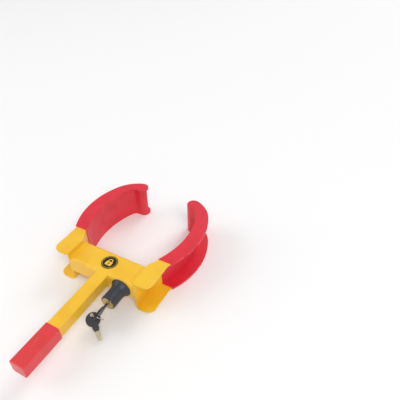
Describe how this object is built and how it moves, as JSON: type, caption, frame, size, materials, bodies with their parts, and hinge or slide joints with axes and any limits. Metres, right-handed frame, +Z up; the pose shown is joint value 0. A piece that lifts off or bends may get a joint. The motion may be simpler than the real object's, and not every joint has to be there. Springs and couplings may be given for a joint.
{
  "type": "wheel clamp",
  "caption": "Anti-theft wheel clamp: hollow body with handle and keyed lock, one fixed and one sliding hook jaw that close round a tyre.",
  "frame": {"origin": "on the ground under the middle of the clamp's bounding box, the clamp lying flat on its jaws", "axes": "+X across the tyre, from the fixed jaw to the sliding jaw; +Y from the handle to the jaw tips; +Z up, square to the plane of the clamp"},
  "size_m": [0.3004, 0.5163, 0.082],
  "materials": {
    "yellow_paint": "gloss powder coat",
    "red_vinyl_dip": "satin soft dip",
    "red_grip": "satin soft sleeve",
    "zinc_plate": "bright zinc",
    "black_rubber": "satin",
    "black_plastic": "fine grain",
    "brass": "satin",
    "nickel": "polished",
    "badge_print": "printed film"
  },
  "bodies": {
    "clamp_body": {"body_shell": "yellow_paint", "left_jaw": "yellow_paint", "left_jaw_coat": "red_vinyl_dip", "stop_screw": "zinc_plate", "handle_tube": "yellow_paint", "handle_grip": "red_grip", "badge": "badge_print", "lock_receiver": "zinc_plate", "lock_boot": "black_rubber", "lock_housing": "nickel", "lock_face_ring": "brass", "guide_screw": "zinc_plate", "housing_screw": "zinc_plate"},
    "sliding_jaw": {"right_jaw": "yellow_paint", "right_jaw_coat": "red_vinyl_dip", "slide_bar": "zinc_plate"},
    "lock_plug_body": {"lock_plug": "nickel", "plug_clip": "zinc_plate", "wafer_tumblers": "brass", "wafer_springs": "zinc_plate", "cross_pin": "zinc_plate"},
    "bolt": {"lock_bolt": "zinc_plate"},
    "first_key": {"key_a_blade": "brass", "key_a_head": "black_plastic"},
    "ring": {"key_ring": "nickel"},
    "second_key": {"key_b_blade": "brass", "key_b_head": "black_plastic"}
  },
  "joints": [
    {"name": "jaw_slide", "type": "slide", "parent": "clamp_body", "child": "sliding_jaw", "axis": [1, 0, 0], "range_m": [0, 0.1]},
    {"name": "key_turn", "type": "hinge", "parent": "clamp_body", "child": "lock_plug_body", "pos_m": [0.051, -0.06818, 0.045], "axis": [0, -1, 0], "range_deg": [0, 90]},
    {"name": "bolt_slide", "type": "slide", "parent": "clamp_body", "child": "bolt", "axis": [0, 1, 0], "range_m": [0, 0.0101]},
    {"name": "key_pull", "type": "slide", "parent": "lock_plug_body", "child": "first_key", "axis": [0, -1, 0], "range_m": [0, 0.025]},
    {"name": "ring_swing", "type": "hinge", "parent": "first_key", "child": "ring", "pos_m": [0.051, -0.10968, 0.045], "axis": [0.9203, 0.2479, -0.3027], "range_deg": [-24, 4]},
    {"name": "second_key_swing", "type": "hinge", "parent": "ring", "child": "second_key", "pos_m": [0.03212, -0.10336, 0.03172], "axis": [-0.1434, -0.5079, 0.8494], "range_deg": [-8, 24]}
  ],
  "couplings": [
    {"joint": "bolt_slide", "follows": "key_turn", "m_per_rad": 0.0063662}
  ]
}
